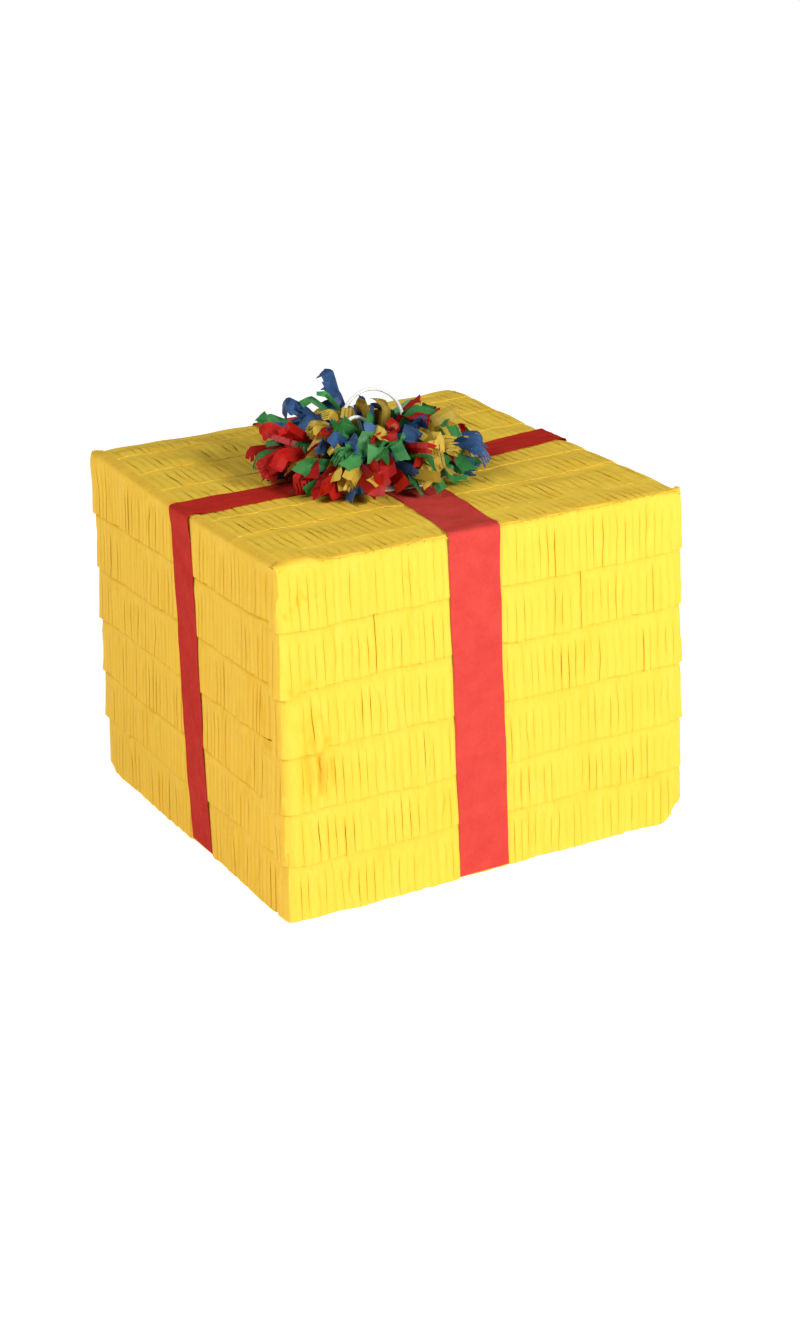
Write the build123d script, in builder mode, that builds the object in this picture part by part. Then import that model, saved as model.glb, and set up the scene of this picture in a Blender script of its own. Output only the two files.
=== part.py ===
from build123d import *

import math
import os

# A gift-box pinata: a taped cardboard carcass with a fill flap in its back, a yellow paper
# wrap, shingled rows of fringed crepe on the four walls and the lid, two crossed red ribbons,
# a tissue pom-pom, and a hanging cord tied to a dowel under the lid.
# Millimetres. +Z is up, the front faces -Y, and the origin is at the middle of the base.

# ---- Driving dimensions ---------------------------------------------------------------
WIDTH = 300.0  # over the crepe, along X and along Y
HEIGHT = 240.0  # from the table to the crepe on the lid
CARD = 3.0  # cardboard thickness

# Layers on the carcass, measured outwards from the cardboard's outer face
TAPE_IN, TAPE = 0.05, 0.35
WRAP_IN, WRAP = 0.5, 0.4
CREPE_IN, CREPE, SLANT = 1.0, 0.8, 1.4  # a strip leans out by SLANT at its cut tips
RIBBON_IN, RIBBON = 3.3, 0.6
CREPE_OUT = CREPE_IN + CREPE + SLANT

CARD_HALF = WIDTH / 2 - CREPE_OUT
CARD_TOP = HEIGHT - CREPE_OUT
GAP = 0.1  # between papers that lie on each other
BASE_SHEET = 0.6  # pasted on last, over the ribbons' tucked ends
TUCK_LOW = BASE_SHEET + GAP
TIP_LOW = TUCK_LOW + RIBBON + GAP  # the lowest fringe ends just above the tucked ribbons
CARD_LOW = TIP_LOW + TAPE + TAPE_IN

# Crepe rows: every strip is cut STRIP wide, and shows as much as its row is high
STRIP = 50.0
WALL_ROWS = {  # visible heights, from the lid down; laid by hand, so they differ
    "front": (42, 39, 41, 42, 36, 40),
    "right": (40, 41, 40, 41, 38, 40),
    "back": (41, 39, 41, 41, 38, 40),
    "left": (39, 41, 39, 42, 36, 43),
}
LID_ROWS = (27, 39, 39, 40, 40, 40, 46, 29)  # from the back edge to the front edge

# Ribbons: one runs front to back at x = RIBBON_X, one left to right at y = RIBBON_Y
RIBBON_X, RIBBON_X_WIDTH = -7.0, 38.0
RIBBON_Y, RIBBON_Y_WIDTH = -3.0, 32.0
RIBBON_TUCK = 25.0  # what is folded under the base
HOP_RAMP = 6.0  # how far ahead of the crossing the upper ribbon starts to rise

# Fill flap in the back wall, beside the ribbon: it covers the second and third rows
FLAP_LEFT, FLAP_RIGHT = 32.0, 127.0  # along X
FLAP_CUT = 0.5  # the knife cut round it
FLAP_TOP = HEIGHT - WALL_ROWS["back"][0] - FLAP_CUT
FLAP_BOTTOM = 130.0
FLAP_NOTCH = 9.0  # radius of the finger notch in its lower edge

# Tape over the carcass seams
TAPE_LEG = 20.0

# Hanger: a doubled cord round a dowel, under a doubling plate
CORD = 2.5
CORD_HOLE = 6.0
LEG_X, LEG_Y = 8.0, 5.45  # where the four legs of the cord pass the lid
PLATE = (90.0, 60.0, 3.0)
PLATE_CORNER = 6.0
DOWEL, DOWEL_LENGTH, DOWEL_CHAMFER = 8.0, 130.0, 0.8
PLATE_LOW = CARD_TOP - CARD - PLATE[2]
DOWEL_Z = PLATE_LOW - 2 * GAP - DOWEL / 2
SADDLE_X, SADDLE_WIDTH, SADDLE = 45.0, 18.0, 0.4  # tape that holds the dowel to the plate
SADDLE_FLANGE = 12.0
KNOT_RADIUS = 3.5

# Pom-pom: four tissue bundles on a card disc, a dome that is hollow round the hanging loops
DISC_LOW, DISC, DISC_RADIUS = HEIGHT + 1.5, 1.0, 52.0
PUFF_LOW = DISC_LOW + DISC + GAP
PUFF_TOP = 316.0
PUFF_RADIUS, PUFF_FOOT, PUFF_CROWN = 80.0, 56.0, 34.0
PUFF_BULGE = PUFF_LOW + 26.0
PUFF_DEPTH = 13.0  # from the outside of a bundle to the hollow
PUFF_FOOT_ARC, PUFF_CROWN_ARC = 32.0, 66.0  # radii of its outline below and above the bulge

UP = Vector(0, 0, 1)
OUTWARD = {
    "front": Vector(0, -1, 0),
    "right": Vector(1, 0, 0),
    "back": Vector(0, 1, 0),
    "left": Vector(-1, 0, 0),
}
# Section planes: local x is the distance out from the cardboard, local y is height (or +Y on
# the lid), and the strip is extruded along local z.
WALL_SECTION = {
    side: Plane(origin=out * CARD_HALF, x_dir=out, z_dir=out.cross(UP))
    for side, out in OUTWARD.items()
}
LID_SECTION = Plane(origin=(0, 0, CARD_TOP), x_dir=(0, 0, 1), z_dir=(-1, 0, 0))
BACK_FACE = Plane(origin=(0, CARD_HALF, 0), x_dir=(-1, 0, 0), z_dir=(0, 1, 0))

FLAP_WIDTH = FLAP_RIGHT - FLAP_LEFT
FLAP_X = (FLAP_LEFT + FLAP_RIGHT) / 2

os.makedirs("parts", exist_ok=True)


def write(part, name):
    """Names a finished piece and writes it as one STEP file."""
    part.label = name
    export_step(part, f"parts/{name}.step")


def slab(plane, size_x, size_y, thickness):
    """A flat board or sheet standing on a plane."""
    with BuildPart() as board:
        with BuildSketch(plane):
            Rectangle(size_x, size_y)
        extrude(amount=thickness)
    return board.part


def cord_holes(low, high):
    """The four holes that the legs of the hanging cord pass through."""
    with BuildPart() as holes:
        with BuildSketch(Plane.XY.offset(low)):
            with GridLocations(2 * LEG_X, 2 * LEG_Y, 2, 2):
                Circle(CORD_HOLE / 2)
        extrude(amount=high - low)
    return holes.part


LID_HOLES = cord_holes(PLATE_LOW - 1, HEIGHT + 3)


# ---- Carcass --------------------------------------------------------------------------
def carcass():
    """Six cardboard boards, butted together, and the tape over their seams."""
    wall_low, wall_high = CARD_LOW + CARD, CARD_TOP - CARD
    side = 2 * CARD_HALF
    write(slab(Plane.XY.offset(CARD_LOW), side, side, CARD), "bottom_panel")

    with BuildPart() as top_panel:
        with BuildSketch(Plane.XY.offset(wall_high)):
            Rectangle(side, side)
        extrude(amount=CARD)
        add(LID_HOLES, mode=Mode.SUBTRACT)
    write(top_panel.part, "top_panel")

    for name, out in OUTWARD.items():
        length = side if name in ("front", "back") else side - 2 * CARD
        middle = out * CARD_HALF + UP * (wall_low + wall_high) / 2
        face = Plane(origin=middle, x_dir=out.cross(UP), z_dir=-out)
        with BuildPart() as wall:
            with BuildSketch(face):
                Rectangle(length, wall_high - wall_low)
            extrude(amount=CARD)
            if name == "back":
                add(flap_opening(-CARD - 1, 1), mode=Mode.SUBTRACT)
        write(wall.part, f"{name}_panel")

    with BuildPart() as upright_tape:
        with BuildSketch(Plane.XY.offset(CARD_LOW)):
            out, low = CARD_HALF + TAPE_IN + TAPE, CARD_HALF + TAPE_IN
            leg = CARD_HALF - TAPE_LEG
            with BuildLine():
                Polyline((leg, low), (low, low), (low, leg), (out, leg), (out, out), (leg, out), close=True)
            make_face()
            mirror(about=Plane.XZ)
            mirror(about=Plane.YZ)
        extrude(amount=CARD_TOP - CARD_LOW)

    with BuildPart() as edge_tape:
        length = 2 * (CARD_HALF - TAPE_LEG - 1)
        with BuildSketch(LID_SECTION.offset(-length / 2)):
            edge = -CARD_HALF
            inner, outer = TAPE_IN, TAPE_IN + TAPE
            with BuildLine():
                Polyline(
                    (inner, edge + TAPE_LEG),
                    (inner, edge - inner),
                    (-TAPE_LEG, edge - inner),
                    (-TAPE_LEG, edge - outer),
                    (outer, edge - outer),
                    (outer, edge + TAPE_LEG),
                    close=True,
                )
            make_face()
        extrude(amount=length)
    with BuildPart() as seam_tapes:
        with PolarLocations(0, 4):
            add(edge_tape.part)
        mirror(about=Plane.XY.offset((CARD_LOW + CARD_TOP) / 2))
        add(upright_tape.part)
    write(seam_tapes.part, "seam_tapes")


def flap_opening(low, high):
    """The block that the fill opening takes out of the back wall, between two depths."""
    plane = BACK_FACE.offset(low)
    with BuildPart() as opening:
        with BuildSketch(plane):
            with Locations((-FLAP_X, (FLAP_TOP + FLAP_BOTTOM) / 2)):
                Rectangle(FLAP_WIDTH, FLAP_TOP - FLAP_BOTTOM)
        extrude(amount=high - low)
    return opening.part


# ---- Paper wrap -----------------------------------------------------------------------
def wrap():
    """The yellow paper pasted over the carcass, which shows through the slits of the fringe,
    and the sheet that closes the base."""
    inner, outer = CARD_HALF + WRAP_IN, CARD_HALF + WRAP_IN + WRAP
    with BuildPart() as wrap_sides:
        with BuildSketch(Plane.XY.offset(CARD_LOW)):
            Rectangle(2 * outer, 2 * outer)
            Rectangle(2 * inner, 2 * inner, mode=Mode.SUBTRACT)
        extrude(amount=CARD_TOP + WRAP_IN - GAP - CARD_LOW)
        add(flap_opening(0, CREPE_IN), mode=Mode.SUBTRACT)
    write(wrap_sides.part, "wrap_sides")

    with BuildPart() as wrap_lid:
        with BuildSketch(Plane.XY.offset(CARD_TOP + WRAP_IN)):
            Rectangle(2 * outer, 2 * outer)
        extrude(amount=WRAP)
        add(LID_HOLES, mode=Mode.SUBTRACT)
    write(wrap_lid.part, "wrap_lid")

    write(slab(Plane.XY, 2 * CARD_HALF, 2 * CARD_HALF, BASE_SHEET), "base_sheet")


# ---- Crepe rows -----------------------------------------------------------------------
def crepe_strip(section, high, low, spans):
    """A strip of crepe that leans out towards its tips: local y runs from high down to low."""
    lean = SLANT * (high - low) / STRIP
    foot = CREPE_IN + SLANT - lean
    with BuildPart() as strip:
        for start, end in spans:
            with BuildSketch(section.offset(start)):
                with BuildLine():
                    Polyline(
                        (foot, high),
                        (foot + CREPE, high),
                        (foot + CREPE + lean, low),
                        (foot + lean, low),
                        close=True,
                    )
                make_face()
            extrude(amount=end - start)
    return strip.part


def row_edges(rows, start):
    """Pairs of (upper edge, tips) for rows laid down from start; each strip is STRIP wide."""
    edges, level = [], start
    for visible in rows:
        level -= visible
        edges.append((level + STRIP, level))
    return edges


def wall_crepe():
    """Six rows on each wall; the back rows stop at the fill flap, which has its own pieces."""
    butt = CARD_HALF + CREPE_IN - GAP
    for side, rows in WALL_ROWS.items():
        half = WIDTH / 2 if side in ("front", "back") else butt
        for number, (high, low) in enumerate(row_edges(rows, HEIGHT), start=1):
            high = min(high, CARD_TOP + CREPE_IN - GAP)
            low = max(low, TIP_LOW)
            spans = [(-half, half)]
            if side == "back" and number in (2, 3):
                spans = [(-half, FLAP_LEFT), (FLAP_RIGHT, half)]
            write(crepe_strip(WALL_SECTION[side], high, low, spans), f"{side}_row_{number}")


def lid_crepe():
    """Eight rows on the lid, laid from the front edge back, with their tips to the front."""
    half = WIDTH / 2
    for number, (high, low) in enumerate(row_edges(LID_ROWS, half), start=1):
        high = min(high, half)
        strip = crepe_strip(LID_SECTION, high, low, [(-half, half)])
        with BuildPart() as row:
            add(strip)
            add(LID_HOLES, mode=Mode.SUBTRACT)
        write(row.part, f"lid_row_{number}")


# ---- Fill flap ------------------------------------------------------------------------
def fill_flap():
    """A board cut on three sides; the paper along its upper edge is the hinge."""
    width = FLAP_WIDTH - 2 * FLAP_CUT
    high, low = FLAP_TOP - FLAP_CUT / 2, FLAP_BOTTOM + FLAP_CUT
    with BuildPart() as flap_panel:
        with BuildSketch(BACK_FACE.offset(-CARD)):
            with Locations((-FLAP_X, (high + low) / 2)):
                Rectangle(width, high - low)
            with Locations((-FLAP_X, low)):
                Circle(FLAP_NOTCH, mode=Mode.SUBTRACT)
        extrude(amount=CARD)
    write(flap_panel.part, "flap_panel")

    with BuildPart() as flap_wrap:
        with BuildSketch(BACK_FACE.offset(WRAP_IN)):
            with Locations((-FLAP_X, (high + low) / 2)):
                Rectangle(width, high - low)
            with Locations((-FLAP_X, low)):
                Circle(FLAP_NOTCH, mode=Mode.SUBTRACT)
        extrude(amount=WRAP)
    write(flap_wrap.part, "flap_wrap")

    edges = row_edges(WALL_ROWS["back"], HEIGHT)
    span = [(FLAP_LEFT + FLAP_CUT, FLAP_RIGHT - FLAP_CUT)]
    for number in (2, 3):
        upper, tips = edges[number - 1]
        upper = min(upper, high)
        write(crepe_strip(WALL_SECTION["back"], upper, tips, span), f"flap_row_{number}")


# ---- Ribbons --------------------------------------------------------------------------
def ribbon(plane, width, crossing):
    """A band up one wall, over the lid and down the other, with its ends tucked under the box.
    crossing is the span that it rises over, or None."""
    wall = CARD_HALF + RIBBON_IN
    lid = CARD_TOP + RIBBON_IN
    foot = TUCK_LOW + RIBBON
    route = [(RIBBON_TUCK - wall, foot), (-wall, foot), (-wall, lid)]
    if crossing:
        start, end = crossing
        raised = lid + RIBBON + GAP
        route += [(start - HOP_RAMP, lid), (start - GAP, raised)]
        route += [(end + GAP, raised), (end + HOP_RAMP, lid)]
    route += [(wall, lid), (wall, foot), (wall - RIBBON_TUCK, foot)]
    with BuildPart() as band:
        with BuildSketch(plane.offset(-width / 2)):
            with BuildLine():
                Polyline(*route)
                offset(amount=RIBBON, side=Side.LEFT, kind=Kind.INTERSECTION)
            make_face()
        extrude(amount=width)
        add(LID_HOLES, mode=Mode.SUBTRACT)
    return band.part


def ribbons():
    """The front-to-back ribbon lies under the left-to-right one where they cross on the lid."""
    lengthwise = Plane(origin=(RIBBON_X, 0, 0), x_dir=(0, 1, 0), z_dir=(1, 0, 0))
    crosswise = Plane(origin=(0, RIBBON_Y, 0), x_dir=(1, 0, 0), z_dir=(0, -1, 0))
    half = RIBBON_X_WIDTH / 2
    write(ribbon(lengthwise, RIBBON_X_WIDTH, None), "ribbon_front_back")
    write(ribbon(crosswise, RIBBON_Y_WIDTH, (RIBBON_X - half, RIBBON_X + half)), "ribbon_left_right")


# ---- Hanger ---------------------------------------------------------------------------
# Each strand comes up from the dowel, opens into a loop above the lid and goes back down.
REAR_ROUTE = [
    (-LEG_X, LEG_Y, DOWEL_Z),
    (-LEG_X, LEG_Y, 239.0),
    (-11.5, 5.7, 252.0),
    (-19.0, 6.1, 263.5),
    (-23.0, 6.5, 276.0),
    (-18.0, 7.0, 288.0),
    (-6.5, 7.3, 297.0),
    (8.0, 7.3, 297.5),
    (20.5, 7.0, 289.5),
    (27.0, 6.5, 277.0),
    (25.5, 6.2, 263.0),
    (13.0, 5.7, 252.0),
    (LEG_X, LEG_Y, 239.0),
    (LEG_X, LEG_Y, DOWEL_Z),
]
FRONT_ROUTE = [
    (-LEG_X, -LEG_Y, DOWEL_Z),
    (-LEG_X, -LEG_Y, 238.5),
    (-12.5, -5.9, 250.0),
    (-22.0, -6.8, 257.5),
    (-29.0, -7.8, 267.5),
    (-28.5, -8.8, 279.0),
    (-20.0, -9.3, 285.8),
    (-9.5, -9.3, 280.5),
    (-2.0, -9.1, 269.5),
    (3.5, -8.6, 256.0),
    (LEG_X, -LEG_Y, 239.5),
    (LEG_X, -LEG_Y, DOWEL_Z),
]
ARC_SHARE = 0.45  # how much of the shorter run each arc takes


def bend_radii(points):
    """The largest radius that each corner of a route has room for."""
    radii = []
    for before, here, after in zip(points, points[1:], points[2:]):
        run_in, run_out = Vector(here) - Vector(before), Vector(after) - Vector(here)
        half_turn = math.radians(run_in.get_angle(run_out)) / 2
        radii.append(ARC_SHARE * min(run_in.length, run_out.length) / math.tan(half_turn))
    return radii


def strand(points, name):
    """One strand of the hanging cord: straight runs joined by tangent arcs."""
    radii = bend_radii(points)
    with BuildPart() as cord:
        with BuildLine() as route:
            FilletPolyline(*points, radius=radii)
        with BuildSketch(Plane(origin=points[0], z_dir=Vector(*points[1]) - Vector(*points[0]))):
            Circle(CORD / 2)
        sweep(path=route.line)
    length = sum(edge.length for edge in route.line.edges())
    expected = math.pi * CORD**2 / 4 * length
    print(name, "length", round(length, 1), "radii", [round(r, 1) for r in radii])
    print(name, "volume over section times length", round(cord.part.volume / expected, 4))
    write(cord.part, name)


def hanger():
    """The doubling plate, the dowel with its tape, and the cord that goes round it."""
    plate_middle = Plane.XY.offset(PLATE_LOW)
    with BuildPart() as anchor_plate:
        with BuildSketch(plate_middle):
            RectangleRounded(PLATE[0], PLATE[1], PLATE_CORNER)
        extrude(amount=PLATE[2])
        add(LID_HOLES, mode=Mode.SUBTRACT)
    write(anchor_plate.part, "anchor_plate")

    with BuildPart() as anchor_dowel:
        with BuildSketch(Plane(origin=(-DOWEL_LENGTH / 2, 0, DOWEL_Z), z_dir=(1, 0, 0))):
            Circle(DOWEL / 2)
        extrude(amount=DOWEL_LENGTH)
        chamfer(anchor_dowel.edges().filter_by(GeomType.CIRCLE), DOWEL_CHAMFER)
    write(anchor_dowel.part, "anchor_dowel")

    inner = DOWEL / 2 + GAP
    outer = inner + SADDLE
    flange = outer + SADDLE_FLANGE
    rise = PLATE_LOW - GAP / 2 - DOWEL_Z
    with BuildPart() as dowel_tapes:
        for x in (-SADDLE_X, SADDLE_X):
            start = (x - SADDLE_WIDTH / 2, 0, DOWEL_Z)
            with BuildSketch(Plane(origin=start, x_dir=(0, 1, 0), z_dir=(1, 0, 0))):
                with BuildLine():
                    Line((-flange, rise), (-inner, rise))
                    Line((-inner, rise), (-inner, 0))
                    ThreePointArc((-inner, 0), (0, -inner), (inner, 0))
                    Line((inner, 0), (inner, rise))
                    Line((inner, rise), (flange, rise))
                    Line((flange, rise), (flange, rise - SADDLE))
                    Line((flange, rise - SADDLE), (outer, rise - SADDLE))
                    Line((outer, rise - SADDLE), (outer, 0))
                    ThreePointArc((outer, 0), (0, -outer), (-outer, 0))
                    Line((-outer, 0), (-outer, rise - SADDLE))
                    Line((-outer, rise - SADDLE), (-flange, rise - SADDLE))
                    Line((-flange, rise - SADDLE), (-flange, rise))
                make_face()
            extrude(amount=SADDLE_WIDTH)
    write(dowel_tapes.part, "dowel_tapes")

    with BuildPart() as cord_turns:
        for x in (-LEG_X, LEG_X):
            with BuildSketch(Plane(origin=(x, LEG_Y, DOWEL_Z), z_dir=(0, 0, 1))):
                Circle(CORD / 2)
            revolve(axis=Axis((x, 0, DOWEL_Z), (1, 0, 0)), revolution_arc=-180)
    with BuildPart() as cord_knot:
        with Locations((LEG_X, 0, DOWEL_Z - LEG_Y)):
            Sphere(KNOT_RADIUS)
        split(bisect_by=Plane.XY.offset(DOWEL_Z - DOWEL / 2 - 2 * GAP), keep=Keep.BOTTOM)
        add(cord_turns.part, mode=Mode.SUBTRACT)
    write(cord_turns.part, "cord_turns")
    write(cord_knot.part, "cord_knot")

    strand(REAR_ROUTE, "hanging_loop_rear")
    strand(FRONT_ROUTE, "hanging_loop_front")


# ---- Pom-pom --------------------------------------------------------------------------
def tissue_bundle(across, along):
    """One quarter of the pom-pom's dome, thick enough for its strips, open at the crown."""
    foot, bulge, crown = (PUFF_FOOT, PUFF_LOW), (PUFF_RADIUS, PUFF_BULGE), (PUFF_CROWN, PUFF_TOP)
    inner_foot = (PUFF_FOOT - PUFF_DEPTH, PUFF_LOW)
    inner_bulge = (PUFF_RADIUS - PUFF_DEPTH, PUFF_BULGE)
    inner_crown = (PUFF_CROWN, PUFF_TOP - PUFF_DEPTH)
    with BuildPart() as bundle:
        with BuildSketch(Plane.XZ):
            with BuildLine():
                RadiusArc(foot, bulge, -PUFF_FOOT_ARC)
                RadiusArc(bulge, crown, -PUFF_CROWN_ARC)
                Line(crown, inner_crown)
                RadiusArc(inner_crown, inner_bulge, PUFF_CROWN_ARC - PUFF_DEPTH)
                RadiusArc(inner_bulge, inner_foot, PUFF_FOOT_ARC + PUFF_DEPTH / 2)
                Line(inner_foot, foot)
            make_face()
        revolve(axis=Axis.Z)
        side_x = Keep.TOP if across > 0 else Keep.BOTTOM
        side_y = Keep.TOP if along > 0 else Keep.BOTTOM
        split(bisect_by=Plane.YZ.offset(across * GAP), keep=side_x)
        split(bisect_by=Plane(origin=(0, along * GAP, 0), z_dir=(0, 1, 0)), keep=side_y)
    return bundle.part


def pompom():
    """The disc on the ribbons' crossing, and the four tissue bundles that it carries."""
    with BuildPart() as pompom_disc:
        with BuildSketch(Plane.XY.offset(DISC_LOW)):
            Circle(DISC_RADIUS)
        extrude(amount=DISC)
        add(LID_HOLES, mode=Mode.SUBTRACT)
    write(pompom_disc.part, "pompom_disc")
    write(tissue_bundle(-1, -1), "tissue_red")
    write(tissue_bundle(1, -1), "tissue_green")
    write(tissue_bundle(-1, 1), "tissue_blue")
    write(tissue_bundle(1, 1), "tissue_yellow")


carcass()
wrap()
wall_crepe()
lid_crepe()
fill_flap()
ribbons()
hanger()
pompom()
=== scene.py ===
import math

import bpy
import numpy as np
from mathutils import Matrix, Vector


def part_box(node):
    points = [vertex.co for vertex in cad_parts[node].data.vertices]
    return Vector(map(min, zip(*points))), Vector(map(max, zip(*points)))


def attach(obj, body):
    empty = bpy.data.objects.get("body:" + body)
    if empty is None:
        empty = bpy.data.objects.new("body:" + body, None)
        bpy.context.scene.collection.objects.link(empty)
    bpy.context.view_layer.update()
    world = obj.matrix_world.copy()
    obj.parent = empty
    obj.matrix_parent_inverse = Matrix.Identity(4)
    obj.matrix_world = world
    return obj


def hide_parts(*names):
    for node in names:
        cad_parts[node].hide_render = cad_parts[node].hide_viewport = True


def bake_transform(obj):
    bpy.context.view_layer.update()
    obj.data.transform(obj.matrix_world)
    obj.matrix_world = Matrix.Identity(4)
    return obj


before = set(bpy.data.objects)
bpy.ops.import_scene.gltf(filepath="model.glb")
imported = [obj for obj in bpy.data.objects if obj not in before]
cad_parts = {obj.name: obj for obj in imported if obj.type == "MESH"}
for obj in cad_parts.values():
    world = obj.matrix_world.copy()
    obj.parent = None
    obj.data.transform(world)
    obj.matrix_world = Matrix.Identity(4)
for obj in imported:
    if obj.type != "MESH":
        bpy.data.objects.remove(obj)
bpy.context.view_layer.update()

# A gift-box pinata. Everything is worked out in millimetres in the CAD's own frame (front at -Y,
# left side at -X, base on z = 0) and turned into metres as each mesh is made.
MM = 0.001


def node_low(node):
    return np.array(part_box(node)[0]) / MM


def node_high(node):
    return np.array(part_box(node)[1]) / MM


HALF = node_high("front_row_2")[0]  # from the middle to the outside of the crepe
HEIGHT = node_high("lid_row_2")[2]
CARD_HALF = node_high("top_panel")[0]
CARD_TOP = node_high("top_panel")[2]
CREPE_OUT = HALF - CARD_HALF
RIBBON_TUCK_Z = node_low("ribbon_front_back")[2] + 0.3
WALLS = ("front", "right", "back", "left")
WALL_ROW_COUNT = 6
LID_ROW_COUNT = 8
OUT = {"front": (0, -1), "right": (1, 0), "back": (0, 1), "left": (-1, 0)}
RUNS = {"front": 1, "right": 1, "back": -1, "left": -1}  # which way s goes along a wall's x or y


def dice(name):
    """A random generator of its own for each piece, the same on every run."""
    return np.random.default_rng(sum(ord(c) * (i + 3) for i, c in enumerate(name)))


ROUND = 6.3  # about a full turn, for waves that start anywhere


def smooth(x):
    x = np.clip(x, 0.0, 1.0)
    return x * x * (3 - 2 * x)


def new_object(name, data):
    made = bpy.data.objects.new(name, data)
    bpy.context.scene.collection.objects.link(made)
    return made


def stand_in(piece, body, node):
    """The piece rides on a body and replaces the CAD's plain node."""
    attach(piece, body)
    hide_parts(node)


# ---- Camera ----
AZIMUTH, ELEVATION, ROLL = (math.radians(a) for a in (-28.5, 20.93, -1.74))
DISTANCE, ASIDE, ABOVE = 1621.0, 13.8, -22.1  # from the middle of the box, in the view's own axes
LENS = 61.77
# From the box towards the camera
TOWARD = np.array(
    (math.sin(AZIMUTH) * math.cos(ELEVATION), -math.cos(AZIMUTH) * math.cos(ELEVATION), math.sin(ELEVATION))
)


def add_camera():
    back = Vector(TOWARD)
    level = Vector((math.cos(AZIMUTH), math.sin(AZIMUTH), 0))
    upright = back.cross(level)
    right = level * math.cos(ROLL) + upright * math.sin(ROLL)
    up = upright * math.cos(ROLL) - level * math.sin(ROLL)
    place = Vector((0, 0, HEIGHT / 2)) + back * DISTANCE + right * ASIDE + up * ABOVE
    data = bpy.data.cameras.new("camera")
    data.lens = LENS
    data.clip_start = 0.05
    camera = new_object("camera", data)
    axes = Matrix((right, up, back)).transposed().to_4x4()
    camera.matrix_world = Matrix.Translation(place * MM) @ axes
    bpy.context.scene.camera = camera


add_camera()

# ---- Materials ----


def new_material(name):
    material = bpy.data.materials.new(name)
    material.use_nodes = True
    tree = material.node_tree
    return material, tree, tree.nodes["Principled BSDF"]


def set_sockets(node, values):
    for name, value in values.items():
        node.inputs[name].default_value = value


def noise(tree, scale, stretch=(1, 1, 1), detail=3.0, roughness=0.55):
    """A noise texture in the frame's own metres, stretched along the axes."""
    place = tree.nodes.new("ShaderNodeTexCoord")
    mapping = tree.nodes.new("ShaderNodeMapping")
    set_sockets(mapping, {"Scale": stretch})
    texture = tree.nodes.new("ShaderNodeTexNoise")
    set_sockets(texture, {"Scale": scale, "Detail": detail, "Roughness": roughness})
    tree.links.new(place.outputs["Object"], mapping.inputs["Vector"])
    tree.links.new(mapping.outputs["Vector"], texture.inputs["Vector"])
    return texture.outputs["Fac"]


def combine(tree, operation, first, second):
    node = tree.nodes.new("ShaderNodeMath")
    node.operation = operation
    for socket, value in zip(node.inputs, (first, second)):
        if isinstance(value, (int, float)):
            socket.default_value = value
        else:
            tree.links.new(value, socket)
    return node.outputs[0]


def weighted(tree, *parts):
    """The sum of (value, weight) pairs."""
    total = None
    for value, weight in parts:
        part = combine(tree, "MULTIPLY", value, weight)
        total = part if total is None else combine(tree, "ADD", total, part)
    return total


def spread(tree, value, low, high, to_low=0.0, to_high=1.0):
    node = tree.nodes.new("ShaderNodeMapRange")
    set_sockets(node, {"From Min": low, "From Max": high, "To Min": to_low, "To Max": to_high})
    tree.links.new(value, node.inputs["Value"])
    return node.outputs["Result"]


def blend_colours(tree, factor, first, second):
    node = tree.nodes.new("ShaderNodeMix")
    node.data_type = "RGBA"
    tree.links.new(factor, node.inputs["Factor"])
    for socket, value in ((node.inputs["A"], first), (node.inputs["B"], second)):
        if isinstance(value, tuple):
            socket.default_value = (*value, 1)
        else:
            tree.links.new(value, socket)
    return node.outputs["Result"]


def roughen(tree, shader, grain, middle, swing):
    tree.links.new(spread(tree, grain, 0.3, 0.7, middle - swing, middle + swing), shader.inputs["Roughness"])


def bump(tree, shaders, height, strength, distance):
    node = tree.nodes.new("ShaderNodeBump")
    set_sockets(node, {"Strength": strength, "Distance": distance})
    tree.links.new(height, node.inputs["Height"])
    for shader in shaders:
        tree.links.new(node.outputs["Normal"], shader.inputs["Normal"])


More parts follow.
